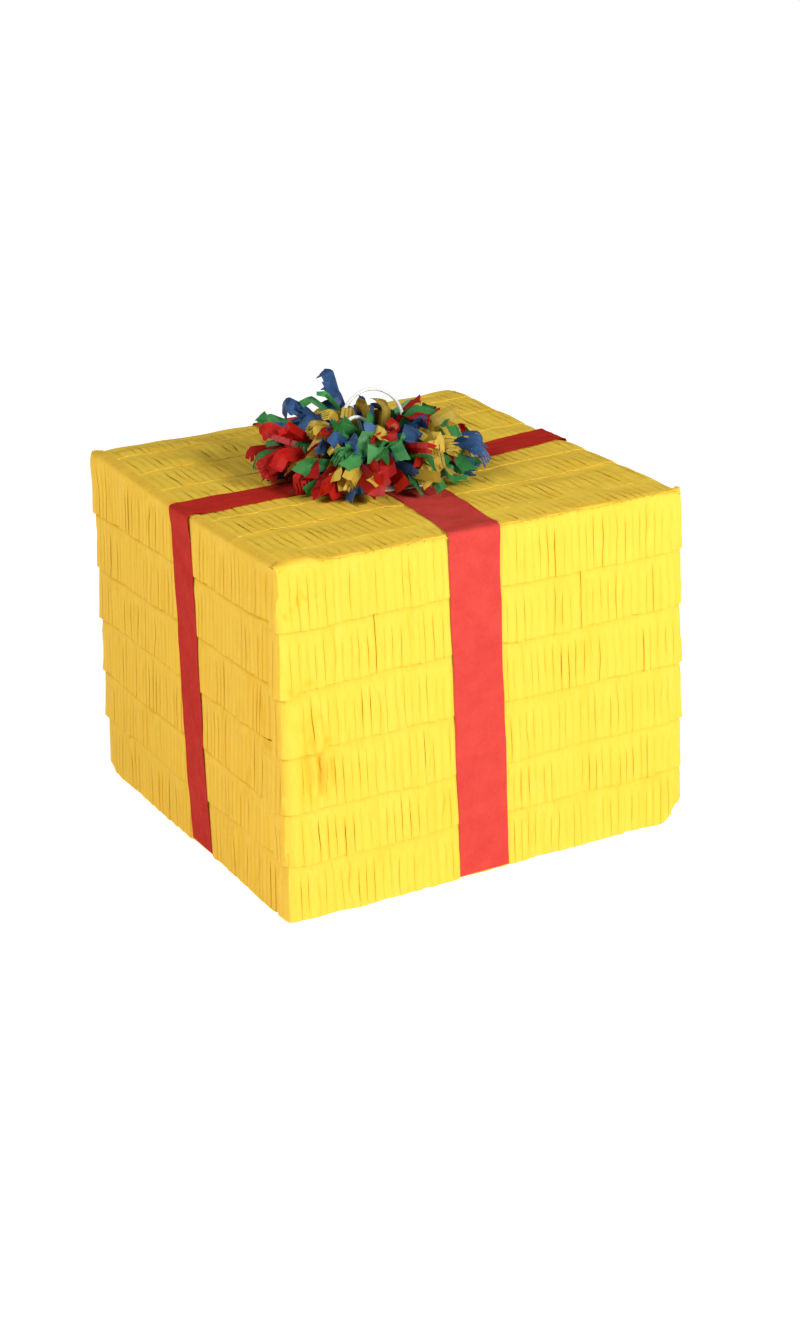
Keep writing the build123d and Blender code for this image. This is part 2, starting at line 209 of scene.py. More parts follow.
def paper(
    name, light, deep, glow, grain, translucency, roughness, specular, crumple, shade_colour=None, relief=0.0011
):
    """Crepe or tissue: fine creases along the grain, soft crumples, and light that comes through.
    The shade colour is painted shade: it is laid into the finer creases, and wherever the mesh's shade
    attribute marks."""
    material, tree, shader = new_material(name)
    creases = noise(tree, 1.0, grain, detail=5.0, roughness=0.6)
    bands = noise(tree, 0.22, grain, detail=2.0)
    patches = noise(tree, 38.0, detail=3.0)
    mottle = noise(tree, 220.0, detail=2.0)
    tone = weighted(tree, (creases, 0.3), (patches, 0.35), (bands, 0.35))
    colour = blend_colours(tree, spread(tree, tone, 0.36, 0.60), deep, light)
    if shade_colour:
        # painted shade: the shade colour laid along the finer creases, where the crease noise is high
        crease_shade_mask = combine(
            tree, "MULTIPLY", spread(tree, creases, 0.52, 0.68), spread(tree, patches, 0.42, 0.62)
        )
        colour = blend_colours(tree, combine(tree, "MULTIPLY", crease_shade_mask, 0.6), colour, shade_colour)
        # painted shade wherever the mesh's per-point shade attribute asks for it
        shade_tint = tree.nodes.new("ShaderNodeAttribute")
        shade_tint.attribute_name = "shade_tint"
        colour = blend_colours(tree, shade_tint.outputs["Fac"], colour, shade_colour)
    tree.links.new(colour, shader.inputs["Base Color"])
    roughen(tree, shader, mottle, roughness, 0.08)
    shader.inputs["Specular IOR Level"].default_value = specular
    through = tree.nodes.new("ShaderNodeBsdfTranslucent")
    through.inputs["Color"].default_value = (*glow, 1)
    mix = tree.nodes.new("ShaderNodeMixShader")
    mix.inputs["Fac"].default_value = translucency
    tree.links.new(shader.outputs["BSDF"], mix.inputs[1])
    tree.links.new(through.outputs["BSDF"], mix.inputs[2])
    tree.links.new(mix.outputs["Shader"], tree.nodes["Material Output"].inputs["Surface"])
    soft = noise(tree, 95.0, detail=4.0)
    height = weighted(tree, (creases, 0.5), (soft, crumple), (bands, 0.9))
    bump(tree, (shader, through), height, 0.7, relief)
    return material


# Linear colours
WALL_GRAIN, LID_GRAIN = (620, 620, 30), (620, 30, 620)
YELLOW, YELLOW_DEEP, YELLOW_GLOW = (0.96, 0.625, 0.072), (0.92, 0.56, 0.045), (1.0, 0.68, 0.05)
LID_YELLOW, LID_DEEP = (0.96, 0.70, 0.084), (0.92, 0.62, 0.056)
# painted shade: the deeper yellow laid into the crepe's creases, beside its cuts and under the rows' tips
SHADE_YELLOW = (0.80, 0.46, 0.012)
RED, RED_DEEP, RED_GLOW = (0.55, 0.028, 0.016), (0.47, 0.020, 0.012), (0.8, 0.03, 0.02)
HIGHLIT_RED, HIGHLIT_RED_DEEP = (0.62, 0.060, 0.046), (0.54, 0.044, 0.034)  # the ribbon over the front, lid and back: a paler, greyer red, painted highlight for the haze of light on the front
CREPE = dict(translucency=0.15, roughness=0.66, specular=0.14, crumple=0.8, shade_colour=SHADE_YELLOW, relief=0.0016)
RIBBON = dict(grain=(420, 420, 420), translucency=0.1, roughness=0.7, specular=0.07, crumple=0.3)
crepe_wall = paper("crepe_wall", YELLOW, YELLOW_DEEP, YELLOW_GLOW, WALL_GRAIN, **CREPE)
crepe_lid = paper("crepe_lid", LID_YELLOW, LID_DEEP, YELLOW_GLOW, LID_GRAIN, **CREPE)
ribbon_crepe = paper("ribbon_crepe", RED, RED_DEEP, RED_GLOW, **RIBBON)
faded_crepe = paper("faded_crepe", HIGHLIT_RED, HIGHLIT_RED_DEEP, RED_GLOW, **RIBBON)
wrap_paper = paper(
    "wrap_paper", (0.82, 0.66, 0.05), (0.74, 0.58, 0.04), (0.9, 0.7, 0.05), WALL_GRAIN, 0.05, 0.7, 0.15, 0.5
)


def cardboard():
    """Kraft board: flutes that show through the liner, fibres, and soft stains."""
    material, tree, shader = new_material("kraft_board")
    fibres = noise(tree, 1.0, (260, 260, 900), detail=6.0)
    stains = noise(tree, 14.0, detail=4.0)
    place = tree.nodes.new("ShaderNodeTexCoord")
    flutes = tree.nodes.new("ShaderNodeTexWave")
    flutes.bands_direction = "X"
    set_sockets(flutes, {"Scale": 48.0, "Distortion": 0.4})
    tree.links.new(place.outputs["Object"], flutes.inputs["Vector"])
    tone = weighted(tree, (fibres, 0.5), (stains, 0.5))
    kraft_dark, kraft_light = (0.27, 0.155, 0.072), (0.40, 0.245, 0.125)
    colour = blend_colours(tree, spread(tree, tone, 0.35, 0.65), kraft_dark, kraft_light)
    tree.links.new(colour, shader.inputs["Base Color"])
    roughen(tree, shader, fibres, 0.85, 0.07)
    height = weighted(tree, (flutes.outputs["Fac"], 0.35), (fibres, 1.0))
    bump(tree, (shader,), height, 0.4, 0.0004)
    return material


def simple(name, light, deep, grain, roughness, height=0.0003, strength=0.4, specular=0.4):
    """A matte or satin surface with its own grain."""
    material, tree, shader = new_material(name)
    fibres = noise(tree, 1.0, grain, detail=6.0, roughness=0.6)
    patches = noise(tree, 30.0, detail=3.0)
    tone = weighted(tree, (fibres, 0.6), (patches, 0.4))
    colour = blend_colours(tree, spread(tree, tone, 0.35, 0.65), deep, light)
    tree.links.new(colour, shader.inputs["Base Color"])
    roughen(tree, shader, fibres, roughness, 0.07)
    shader.inputs["Specular IOR Level"].default_value = specular
    bump(tree, (shader,), fibres, strength, height)
    return material


board = cardboard()
tape = simple("kraft_tape", (0.46, 0.31, 0.17), (0.38, 0.25, 0.13), (500, 500, 120), 0.45)
pine = simple("dowel_pine", (0.62, 0.42, 0.22), (0.48, 0.30, 0.14), (40, 900, 900), 0.6)
cotton = simple("cotton_cord", (0.86, 0.85, 0.82), (0.70, 0.69, 0.66), (1600, 1600, 1600), 0.85, 0.0004)
disc_card = simple("disc_card", (0.62, 0.50, 0.36), (0.52, 0.41, 0.28), (500, 500, 500), 0.8)

# ---- Cords ----
CORD_DIAMETER = 2.5
DOWEL_Z = (node_low("anchor_dowel")[2] + node_high("anchor_dowel")[2]) / 2
REAR_ROUTE = [
    (-8.0, 5.45, DOWEL_Z), (-8.0, 5.45, 239.0), (-11.5, 5.7, 252.0), (-19.0, 6.1, 263.5),
    (-23.0, 6.5, 276.0), (-18.0, 7.0, 288.0), (-6.5, 7.3, 297.0), (8.0, 7.3, 297.5),
    (20.5, 7.0, 289.5), (27.0, 6.5, 277.0), (25.5, 6.2, 263.0), (13.0, 5.7, 252.0),
    (8.0, 5.45, 239.0), (8.0, 5.45, DOWEL_Z),
]
FRONT_ROUTE = [
    (-8.0, -5.45, DOWEL_Z), (-8.0, -5.45, 238.5), (-12.5, -5.9, 250.0), (-22.0, -6.8, 257.5),
    (-29.0, -7.8, 267.5), (-28.5, -8.8, 279.0), (-20.0, -9.3, 285.8), (-9.5, -9.3, 280.5),
    (-2.0, -9.1, 269.5), (3.5, -8.6, 256.0), (8.0, -5.45, 239.5), (8.0, -5.45, DOWEL_Z),
]


def add_cord(name, node, route, length):
    curve = bpy.data.curves.new(name, "CURVE")
    curve.dimensions = "3D"
    curve.bevel_depth = CORD_DIAMETER / 2 * MM
    curve.bevel_resolution = 4
    curve.use_fill_caps = True
    spline = curve.splines.new("NURBS")
    spline.points.add(len(route) - 1)
    for point, place in zip(spline.points, route):
        point.co = (*(Vector(place) * MM), 1)
    spline.order_u = 3
    spline.use_endpoint_u = True
    spline.resolution_u = 12
    curve.materials.append(cotton)
    cord = new_object(name, curve)
    stand_in(cord, "shell", node)
    leaves, length, diameter = Vector(route[0]) * MM, length * MM, CORD_DIAMETER * MM


add_cord("loop_rear", "hanging_loop_rear", REAR_ROUTE, 175)
add_cord("loop_front", "hanging_loop_front", FRONT_ROUTE, 136)

# ---- Sheets ----
SHARP = math.radians(42)


def sheet_object(name, points, faces, thickness, material, sharp=SHARP, shade_tint=None):
    """A thin closed sheet from its middle surface, in millimetres."""
    mesh = bpy.data.meshes.new(name)
    mesh.from_pydata((np.asarray(points) * MM).tolist(), [], faces)
    # a per-point painted shade, which the material reads to darken the paper
    if shade_tint is not None:
        marks = mesh.attributes.new("shade_tint", "FLOAT", "POINT")
        marks.data.foreach_set("value", np.clip(shade_tint, 0, 1).astype(np.float32))
    sheet = new_object(name, mesh)
    solid = sheet.modifiers.new("thickness", "SOLIDIFY")
    solid.thickness = thickness * MM
    solid.offset = 0
    made = bpy.data.meshes.new_from_object(sheet.evaluated_get(bpy.context.evaluated_depsgraph_get()))
    sheet.modifiers.clear()
    sheet.data = made
    made.name = name
    made.materials.clear()
    made.materials.append(material)
    made.shade_smooth()
    made.set_sharp_from_angle(angle=sharp)
    return sheet


def grid_faces(levels, wide):
    """The faces of a grid of points, row by row."""
    starts = [j * wide + i for j in range(levels) for i in range(wide - 1)]
    return [(a, a + wide, a + wide + 1, a + 1) for a in starts]


CUT_PITCH = 6.0  # between the fringe's cuts
STRIP_COLUMNS = 3


def fringe(length, drop, band, random, gaps, power, open_tips=False, seams=(), rows=None, uncut=()):
    """A sheet cut into strips below an uncut band. Gives s along the sheet, t down it, n off it
    (all in millimetres), where it is beside a cut, and its faces. Each cut is a thin lens, wide at
    its middle. gaps are the narrowest and widest cuts, and a higher power makes wide ones rarer."""
    count = round(length / CUT_PITCH)
    cuts = np.linspace(0, length, count + 1)
    cuts[1:-1] += random.normal(0, 0.45, count - 1)
    start = band + random.uniform(-1.5, 6.5, count + 1)
    end = drop * random.uniform(0.86, 1.02, count + 1)
    clustered = 0.8 + 0.2 * np.sin(cuts / random.uniform(9, 16) + random.uniform(0, ROUND))
    gap = gaps[0] + (gaps[1] - gaps[0]) * random.random(count + 1) ** power * clustered
    wave = np.where(random.random(count + 1) < 0.1, 0.9, 0.16) * random.normal(0, 1, count + 1)
    phase = random.uniform(0, ROUND, count + 1)
    lift = random.normal(0, 0.10, count)
    curl = random.uniform(0.02, 0.34, count)
    tilt = random.normal(0, 0.14, count)
    tip = random.normal(0, 0.22, count)
    for place in uncut:
        start[abs(cuts - place) < 3.4] = drop + 1
    for seam in seams:
        nearest = 1 + int(np.argmin(abs(cuts[1:-1] - seam)))
        cuts[nearest], start[nearest], gap[nearest] = seam, -1.0, 0.8
        lift[nearest : nearest + 1] += 0.4
    rows = np.linspace(0, drop, 13) if rows is None else rows
    levels = len(rows) - 1
    s_all, t_all, n_all, beside, faces = [], [], [], [], []

    def cut_edge(i, t):
        """Where cut i runs at depth t, and half its width there."""
        run = np.clip((t - start[i]) / max(end[i] - start[i], 1.0), 0.0, 1.0)
        shape = run**0.8 if open_tips else math.sin(math.pi * run) ** 0.75
        if start[i] < 0:
            shape = 0.5
        sway = wave[i] * math.sin(t / 5.5 + phase[i]) * smooth((t - start[i]) / 8)
        return cuts[i] + sway, max(gap[i] * shape, 0.03) / 2

    previous = {}
    for i in range(count):
        grid = []
        for j, level in enumerate(rows):
            line = []
            left, half_left = cut_edge(i, level)
            right, half_right = cut_edge(i + 1, level)
            closed_left = i == 0 or level <= start[i]
            closed_right = i == count - 1 or level <= start[i + 1]
            left += 0 if closed_left else half_left
            right -= 0 if closed_right else half_right
            for c in range(STRIP_COLUMNS + 1):
                u = c / STRIP_COLUMNS
                if c == 0 and i > 0 and level <= start[i]:
                    line.append(previous[j])
                    continue
                begin = start[i] * (1 - u) + start[i + 1] * u
                free = float(smooth((level - begin) / 9.0))
                edge = 2 * u - 1
                s_all.append(left + (right - left) * u)
                t_all.append(level + tip[i] * (level / drop) ** 4)
                n_all.append(free * (lift[i] + tilt[i] * edge + curl[i] * (1 - edge * edge)))
                at_left, at_right = c == 0 and not closed_left, c == STRIP_COLUMNS and not closed_right
                beside.append(float(at_left or at_right))
                line.append(len(s_all) - 1)
            grid.append(line)
        for j in range(levels):
            for c in range(STRIP_COLUMNS):
                faces.append((grid[j][c], grid[j + 1][c], grid[j + 1][c + 1], grid[j][c + 1]))
        previous = {j: grid[j][STRIP_COLUMNS] for j in range(levels + 1)}
    return np.array(s_all), np.array(t_all), np.array(n_all), np.array(beside), faces


# ---- The covering's soft shape ----
# Long waves on each side, then the puffs and creases that hasty hands leave
WAVES = {
    side: [
        (dice(side).uniform(0.5, 1.5) * a, b, c, d)
        for a, b, c, d in ((0.5, 61, 83, 0.4), (0.4, 103, 47, 1.9), (0.3, 37, 71, 3.1), (0.25, 29, 31, 5.0))
    ]
    for side in (*WALLS, "lid")
}
PUFFS = {  # along the side from its middle, height, half widths, how far it stands out
    "front": [
        (-128, 127, 4.2, 9, 4.5), (-133, 103, 2.8, 15, 4.6), (-123.5, 103, 2.6, 13, 4.0),
        (-139, 99, 3.0, 12, 1.6), (-139, 143, 6.0, 8, 1.4), (-131, 222, 7.0, 4, 1.3),
        (56, 184, 15, 5, 1.1), (-60, 96, 3.0, 13, 0.9), (128, 20, 6.0, 15, 1.2), (141, 12, 5.0, 12, 1.0),
        (-100, 176, 16, 9, 0.8), (20, 120, 20, 8, 0.8), (95, 220, 22, 7, 0.8),
    ],
    "left": [
        (92, 118, 5.0, 9, 1.5), (-60, 60, 6.0, 13, 1.4), (-105, 40, 5.0, 15, 1.8),
        (-140, 232, 12, 10, 2.0), (-120, 150, 8, 12, 1.2), (-20, 35, 7, 12, 1.2), (70, 30, 7, 14, 1.3),
        (20, 190, 12, 7, 1.0), (120, 70, 9, 12, 1.2),
    ],
    "right": [(-60, 140, 9, 14, 1.4), (40, 60, 12, 8, 1.2), (110, 190, 5, 13, 1.5)],
    "back": [(-80, 150, 8, 12, 1.2), (-30, 60, 12, 8, 1.0)],
    "lid": [
        (-100, 95, 12, 7, 1.2), (95, -95, 10, 8, 0.9), (-70, -120, 9, 6, 0.8), (-128, 132, 16, 9, 2.0),
        (110, 60, 14, 7, 1.2), (-110, 20, 9, 6, 1.0), (70, 110, 12, 8, 1.2),
    ],
}
CREASES = {  # the two ends of each (along, height), half width, how far it stands out or sinks in
    "front": [
        (-147, 207, -130, 219, 0.9, -0.9), (-137, 216, -134, 223, 1.6, -1.4),
        (-138, 112, -138, 92, 1.1, -1.0), (-128, 112, -128, 88, 1.2, -1.4),
        (-119, 108, -120, 90, 1.0, -1.0), (-122, 122, -102, 124, 1.0, 1.0),
        (-146, 158, -128, 163, 1.2, -1.0),
    ],
    "left": [
        (133, 231, 140, 207, 2.0, -1.5), (138, 232, 143, 214, 1.6, -1.2),
        (-44, 232, -52, 212, 1.3, -1.2), (100, 90, 92, 70, 1.5, -0.9), (135, 50, 141, 22, 2.2, -1.6),
        (139, 60, 144, 30, 1.6, -1.2), (-118, 225, -112, 205, 1.5, -1.0), (70, 225, 66, 208, 1.4, -0.9),
        (-70, 110, -76, 92, 1.5, -0.9), (120, 150, 124, 128, 1.5, -1.0), (110, 30, 104, 12, 1.5, -0.9),
    ],
    "right": [(-90, 220, -84, 205, 1.4, -1.0), (60, 120, 70, 100, 1.4, -1.0)],
    "back": [(90, 100, 84, 78, 1.4, -1.0)],
    "lid": [
        (-62, 60, -50, 55, 1.6, -1.0), (-95, 78, -80, 70, 1.6, -1.0), (84, -20, 96, -27, 1.6, -0.9),
        (60, 96, 75, 92, 1.4, -0.9),
    ],
}
FLARE = 2.8  # the paper stands further off towards the base
RISE = 5.0  # and the lid's paper is fuller towards the back
RISE_RIGHT = 2.6  # and to the right
RISE_REACH = 26


def swell(side, s, z):
    """How far the covering stands out from flat at a place on a side."""
    total = np.zeros(np.broadcast(s, z).shape)
    for height, across, up, phase in WAVES[side]:
        total = total + height * (0.5 + 0.5 * np.sin(s / across * 6.28 + z / up * 6.28 + phase))
    for place, level, wide, tall, height in PUFFS[side]:
        total = total + height * np.exp(-(((s - place) / wide) ** 2) - ((z - level) / tall) ** 2)
    for crease in CREASES[side]:
        total = total + crease[5] * np.exp(-((from_crease(crease, s, z) / crease[4]) ** 2))
    return np.maximum(total, 0)


def from_crease(crease, s, z):
    s0, z0, s1, z1 = crease[:4]
    run = np.clip(((s - s0) * (s1 - s0) + (z - z0) * (z1 - z0)) / ((s1 - s0) ** 2 + (z1 - z0) ** 2), 0, 1)
    return np.hypot(s - s0 - run * (s1 - s0), z - z0 - run * (z1 - z0))


def painted_relief_shade(side, s, z):
    """Painted shade: where the paper's colour deepens, in a ring round its narrow puffs and along its
    creases.
    """
    total = np.zeros(np.broadcast(s, z).shape)
    for place, level, wide, tall, height in PUFFS[side]:
        if wide < 8:
            around = np.hypot((s - place) / wide, (z - level) / tall)
            total = total + 0.13 * min(height, 2.4) * np.exp(-(((around - 1.4) / 0.3) ** 2))
    for crease in CREASES[side]:
        total = total + 0.6 * np.exp(-((from_crease(crease, s, z) / crease[4]) ** 2))
    return total


def flare(z):
    return FLARE * smooth((HEIGHT - z) / HEIGHT)


def rise(x, y):
    return RISE * smooth((y - 5) / 135) + RISE_RIGHT * smooth((x - 60) / 90) * smooth((y + 150) / 110)


def risen(x, y, z):
    """How far the lid's fullness raises the paper on a wall, which is only near its top."""
    return rise(x, y) * smooth((z - HEIGHT + RISE_REACH) / RISE_REACH)


# ---- Ribbon courses ----
# Each ribbon's middle line wanders a little: its place across the side it lies on.
RIBBON_WIDTH = {"ribbon_front_back": 37.5, "ribbon_left_right": 31.0}
COURSE = {  # side: (places along the ribbon's way on that side, where its middle is)
    "front": ((0, HEIGHT), (-8.0, -10.5)),
    "lid_front_back": ((-HALF, -70, HALF), (-9.5, 1.0, -2.0)),
    "back": ((0, HEIGHT), (-6.0, -2.0)),
    "left": ((0, 60, HEIGHT), (-16.0, -11.5, -5.5)),
    "lid_left_right": ((-HALF, HALF), (-4.5, 6.0)),
    "right": ((0, HEIGHT), (2.0, 6.0)),
}


def course(side, along):
    return np.interp(along, *COURSE[side])


def pressed(side, s, z):
    """0 under a ribbon, 1 away from it: the ribbon holds the fringe down."""
    if side == "lid":
        first = abs(s - course("lid_front_back", z)) - RIBBON_WIDTH["ribbon_front_back"] / 2
        second = abs(z - course("lid_left_right", s)) - RIBBON_WIDTH["ribbon_left_right"] / 2
        distance = np.minimum(first, second)
    else:
        width = RIBBON_WIDTH["ribbon_front_back" if side in ("front", "back") else "ribbon_left_right"]
        distance = abs(s * RUNS[side] - course(side, z)) - width / 2
    return smooth((distance + 1.0) / 5.0)


# ---- Crepe rows on the walls ----
FOOT = 1.2  # middle of the sheet above the cardboard, at the row's upper edge
THICK = 0.42
FOLD_RADIUS = {"front": 1.3, "right": 2.0, "back": 3.0, "left": 2.4}  # over the lid's edge
FOLD = {"front": 4.0, "right": -3.0, "back": 2.5, "left": 6.0}  # what the top row lays on the lid
LEAN = {"front": 1.9, "right": 2.2, "back": 2.2, "left": 2.4}  # how far the tips stand out
TUCKED_END = 143.5  # where a row stops short, under the next wall's rows
UNCUT_BELOW = 5.0  # the uncut band goes on this far below the tips of the row above
# Each row's left and right ends: how far it runs onto the next wall, and how much of the corner
# it cuts off, on its own wall at its top and its tips
ENDS = {
    "front": {
        1: ((10, 0.5, 1.8), (9, 0.8, 0.5)),
        2: ((12, 0.0, 0.4), (8, 0.5, 0.8)),
        3: ((11, 3.6, 2.2), (12, 1.2, 0.5)),
        4: ((27, 2.6, 3.2), (9, 0.8, 0.4)),
        5: ((16, 3.0, 3.4), (10, 1.4, 0.8)),
        6: ((13, 0.3, 0.2), (8, 0.8, 2.0)),
    },
    "right": {number: (None, None) for number in range(1, 7)},
}
LEFT_ENDS = {  # these rows stop short at their right end
    "back": ((9, 3.0, 1.0), (11, 1.0, 2.0), (8, 2.5, 3.5), (10, 1.0, 1.0), (12, 3.0, 2.0), (9, 2.0, 3.0)),
    "left": ((10, 0.6, 1.2), (8, 0.8, 1.8), (11, 1.6, 0.8), (9, 0.4, 1.4), (12, 1.8, 0.9), (9, 0.8, 2.4)),
}
for wall, left_ends in LEFT_ENDS.items():
    ENDS[wall] = {number: (end, None) for number, end in enumerate(left_ends, 1)}
FLAT_END = (0, 1.0, 1.0)
TORN_ROW = ("front", 4)
SEAMS = {  # where a row is of two lengths of crepe, side by side
    ("front", 2): (-84, 70), ("left", 1): (-52,), ("left", 4): (60,), ("right", 3): (-20,),
    ("right", 5): (85,), ("back", 4): (40,), ("back", 6): (-90,),
}


def corner_path(inset):
    """A sheet's way round a corner of the box, as places along and out, and which way it turns,
    by the distance from where it leaves the wall."""
    onward = min(inset, 3.0)
    soft = 0.5
    step = 0.1
    way = np.arange(-4, 70, step)
    length, slant = math.hypot(inset, onward), math.atan2(onward, inset)
    angle = slant * smooth((way + soft) / (2 * soft))
    angle = angle + (math.pi / 2 - slant) * smooth((way - length + soft) / (2 * soft))
    middle = (angle[1:] + angle[:-1]) / 2
    along = -inset - 4 + np.concatenate(([0], np.cumsum(np.cos(middle)) * step))
    out = -np.concatenate(([0], np.cumsum(np.sin(middle)) * step))
    return way, along, out, angle


def wall_point(side, s, z, n, ends=(None, None), down=0.0):
    """s along the wall from its middle, z up, n off the cardboard, to x, y, z. Past the corner the
    sheet turns onto the next wall, and past the top onto the lid. down goes from 0 at the row's
    top to 1 at its tips."""
    above = n - CREPE_OUT
    along, outward = abs(s), HALF + above
    down = np.broadcast_to(down, s.shape)
    for sign, end in zip((-1, 1), ends):
        _, top, tips = end or FLAT_END
        here = (s * sign > 0) & (abs(s) > HALF - 8)
        if not here.any():
            continue
        placed = []
        for inset in (top, tips):
            way, x, out, angle = corner_path(inset)
            at = abs(s[here]) - (HALF - inset)
            turned = np.interp(at, way, angle)
            straight = at < way[0]
            x_at = np.where(straight, abs(s[here]) - HALF, np.interp(at, way, x))
            out_at = np.interp(at, way, out)
            placed.append((x_at + above[here] * np.sin(turned), out_at + above[here] * np.cos(turned)))
        share = down[here]
        along = along.astype(float)
        along[here] = HALF + placed[0][0] * (1 - share) + placed[1][0] * share
        outward[here] = HALF + placed[0][1] * (1 - share) + placed[1][1] * share
    # over the top edge, except where the sheet has gone round a corner and stops at the edge
    limit = HEIGHT - 1.5
    gone_round = smooth((abs(s) - HALF + 1) / 3)
    z = z - 0.93 * gone_round * np.maximum(z - limit, 0)
    radius = FOLD_RADIUS[side]
    start = HEIGHT - radius
    beyond = z - start
    angle = np.clip(beyond / radius, 0, math.pi / 2)
    past = np.maximum(beyond - radius * math.pi / 2, 0)
    inward = (radius + above) * (1 - np.cos(angle)) + past
    over = start + (radius + above) * np.sin(angle)
    outward = np.where(beyond > 0, outward - inward, outward)
    z = np.where(beyond > 0, over, z)
    ox, oy = OUT[side]
    across = np.sign(s) * along
    x, y = outward * ox - across * oy, outward * oy + across * ox
    z = z + risen(x, y, z)
    return np.stack((x, y, z), axis=-1)


def row_level(side, number):
    """(upper edge, tips) of a row, as the CAD has it."""
    node = f"{side}_row_{number}"
    return node_high(node)[2], node_low(node)[2]


def droop(side, number, s):
    """How far a row's tips hang below their usual line at a place along it."""
    phase = dice(f"{side}{number}").uniform(0, ROUND, 3)
    hang = 0.55 * np.sin(s / 31 + phase[0]) + 0.4 * np.sin(s / 13 + phase[1])
    hang = hang + 0.25 * np.sin(s / 6 + phase[2])
    if side == "front":
        left = smooth((-s - 136) / 12)
        if number == 2:
            hang = hang + 5.0 * left
        if number == 3:
            hang = hang + 4.0 * smooth((-s - 122) / 6)
        if number == 6:  # a corner that has crumpled up, and one that droops to the floor
            hang = hang - 15.0 * smooth((s - 133) / 18) ** 1.5
    if number == WALL_ROW_COUNT:
        low_corner = {"left": (-s, 5), "right": (-s, 8), "back": (abs(s), 4)}.get(side)
        if low_corner:
            hang = hang - low_corner[1] * smooth((low_corner[0] - 136) / 12)
        hang = np.minimum(hang + 0.6, 1.0)
    return hang


def snapped(s, share, ends):
    """Brings the columns nearest a corner's creases onto them, so that the paper folds crisply."""
    for sign, end in zip((-1, 1), ends):
        if end:
            inset = end[1] * (1 - share) + end[2] * share
            crease = HALF - inset
            second = crease + np.hypot(inset, np.minimum(inset, 3.0))
            for fold in (crease, second):
                near = (s * sign > 0) & (abs(abs(s) - fold) < 1.05)
                s = np.where(near, sign * fold, s)
    return s


def row_levels(side, number, upper, tips):
    """A row's upper edge, how far down it is uncut, and the levels of its points from its top."""
    radius = FOLD_RADIUS[side]
    top = row_level(side, number)[0]
    if number == 1:
        top = HEIGHT - radius + radius * math.pi / 2 + FOLD[side]
        band = top - HEIGHT + UNCUT_BELOW
    else:
        band = top - row_level(side, number - 1)[1] + UNCUT_BELOW
    if upper is not None:
        top, band = upper, 6.0
    drop = top - tips
    levels = np.linspace(0, drop, 14)
    if number == 1 and FOLD[side] > 0:
        bend = FOLD[side] + np.linspace(0, radius * math.pi / 2, 5)
        over, down = np.linspace(0, FOLD[side], 3), np.linspace(bend[-1], drop, 13)
        levels = np.concatenate((over, bend[1:], down[1:]))
    elif number > 1 and upper is None:  # closer together where the row comes out from under the last
        closer = band - UNCUT_BELOW + np.array((-1.0, 0.6, 1.9, 3.0, 4.2))
        levels = np.unique(np.concatenate((levels, closer)))
    return top, band, levels


def stand_off(side, number, ends, s, t, z, share, lift):
    """How far a row's paper is off the cardboard."""
    if number == 1:
        tips = row_level(side, number)[1]
        lean = np.interp(HEIGHT - z, (0, 8, HEIGHT - tips), (0.25, 0.9, LEAN[side]))
    else:
        lean = np.interp(t, (0, 9, 17, 50), (0, 0.1, 1.1, LEAN[side]))
    hold = pressed(side, s, z)
    lean = lean * (0.5 + 0.5 * hold)
    n = FOOT + lean + swell(side, s, z)
    n = n + lift * hold - 0.3 * (1 - hold) * share
    for sign, end in zip((-1, 1), ends):
        along = s * sign
        if end:
            stand = {("front", 2, -1): 1.6, ("front", number, 1): 2.4}.get((side, number, sign), 0.75)
            n = n + stand * smooth((along - HALF + 3) / 8)
        else:
            tucked = smooth((along - 124) / 15)
            n = n * (1 - tucked) + (FOOT + (n - FOOT) * 0.22) * tucked
    if side in ("front", "left"):
        n = n + 0.8 * smooth((z - HEIGHT + 1) / 3)
    if (side, number) == TORN_ROW:  # its torn end lifts off the left wall, and curls open
        torn = smooth((-s - HALF - 4) / 10)
        n = n + torn * (0.15 * smooth(1 - (t - 4) / 22) + 0.5 * np.maximum(1 - t / 5, 0) ** 1.3)
    if (side, number) == ("front", 1):  # its left end stands up over the lid's edge
        n = n + 3.6 * smooth((z - HEIGHT + 8) / 8) * np.exp(-(((s + 135) / 13) ** 4))
    return n + flare(z)


def lay(sheet, body, node):
    """Puts a row of crepe, which lies pasted on a panel, on its body in place of the CAD's node."""
    stand_in(sheet, body, node)


